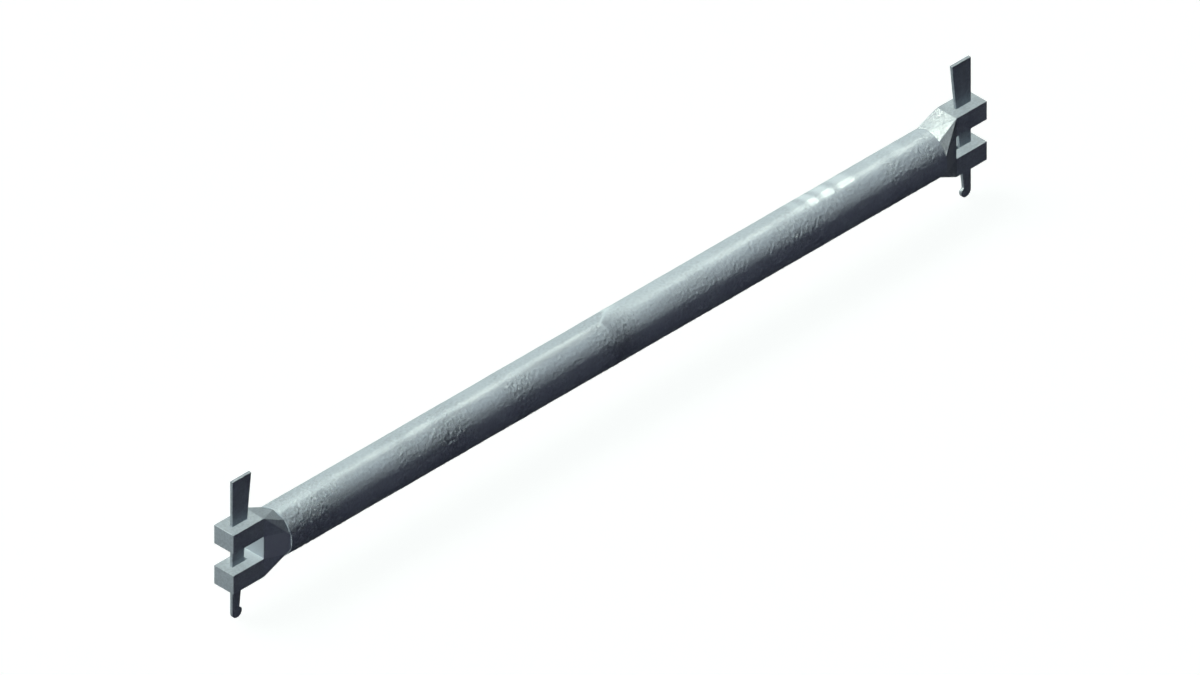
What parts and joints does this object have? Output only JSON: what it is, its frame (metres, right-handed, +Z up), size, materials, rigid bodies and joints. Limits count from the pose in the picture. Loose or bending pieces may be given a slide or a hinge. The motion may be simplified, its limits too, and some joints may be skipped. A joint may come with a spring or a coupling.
{
  "type": "scaffold ledger",
  "caption": "Galvanised scaffold ledger: a straight round tube with a forked cast head at each end, where a captive tapered wedge slides down through a rosette plate to lock it.",
  "frame": {"origin": "on the tube's axis at mid-length, which is also the centre of mass", "axes": "+X along the tube towards the right head, +Z up in use, the way the wedges are lifted, +Y horizontal across the tube"},
  "size_m": [0.95, 0.0482, 0.15],
  "materials": {
    "tube_zinc": "hot-dip galvanised, matt grey with soft streaks",
    "head_zinc": "hot-dip galvanised casting, matt grey, fine mottle",
    "wedge_zinc": "galvanised flat plate, matt grey"
  },
  "bodies": {
    "ledger": {"ledger_tube": "tube_zinc", "left_head": "head_zinc", "right_head": "head_zinc"},
    "left_wedge": {"left_wedge": "wedge_zinc"},
    "right_wedge": {"right_wedge": "wedge_zinc"}
  },
  "joints": [
    {"name": "left_wedge_slide", "type": "slide", "parent": "ledger", "child": "left_wedge", "axis": [0, 0, 1], "range_m": [0, 0.0715]},
    {"name": "right_wedge_slide", "type": "slide", "parent": "ledger", "child": "right_wedge", "axis": [0, 0, 1], "range_m": [0, 0.0715]}
  ]
}
